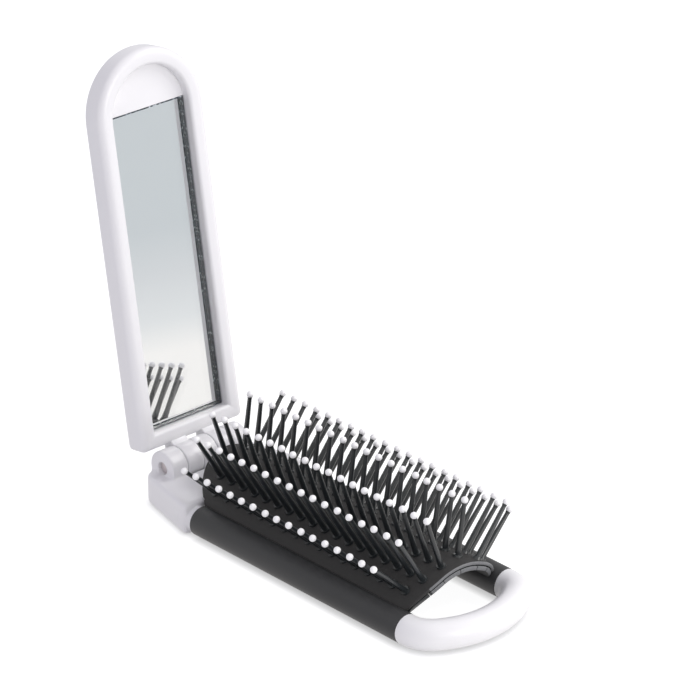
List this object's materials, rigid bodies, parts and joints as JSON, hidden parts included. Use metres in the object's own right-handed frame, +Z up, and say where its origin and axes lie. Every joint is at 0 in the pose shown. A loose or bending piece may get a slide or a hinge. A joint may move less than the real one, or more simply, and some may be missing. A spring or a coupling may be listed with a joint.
{
  "type": "folding hairbrush with mirror",
  "caption": "Pocket folding hairbrush with ball-tipped bristles on an arched pad, a finger loop and a hinged lid with an inset mirror.",
  "frame": {"origin": "bottom centre of the bounding box of the open brush, on the surface it stands on", "axes": "+X along the hinge pin, -Y towards the finger loop, +Z up"},
  "size_m": [0.0446, 0.1308, 0.112],
  "materials": {
    "case_plastic": "polished white moulding",
    "mirror": "silvered glass",
    "tape": "foam adhesive sheet",
    "pin_steel": "cut steel pin",
    "black_sleeve": "fine matte black",
    "pad_rubber": "matte black elastomer",
    "bristle": "smooth black nylon",
    "ball_tip": "matte white beads"
  },
  "bodies": {
    "base": {"hinge_block": "case_plastic", "hinge_pin": "pin_steel", "loop_frame": "case_plastic", "sleeve_left": "black_sleeve", "sleeve_right": "black_sleeve", "pad_skin": "pad_rubber", "bristle_strip_1": "bristle", "bristle_strip_2": "bristle", "bristle_strip_3": "bristle", "bristle_strip_4": "bristle", "bristle_strip_5": "bristle", "bristle_strip_6": "bristle", "tip_row_1": "ball_tip", "tip_row_2": "ball_tip", "tip_row_3": "ball_tip", "tip_row_4": "ball_tip", "tip_row_5": "ball_tip", "tip_row_6": "ball_tip"},
    "lid": {"mirror_case": "case_plastic", "mirror_glass": "mirror", "mirror_tape": "tape"}
  },
  "joints": [
    {"name": "lid_hinge", "type": "hinge", "parent": "base", "child": "lid", "pos_m": [0, 0.04067, 0.0096], "axis": [-1, 0, 0], "range_deg": [-47, 80]}
  ]
}
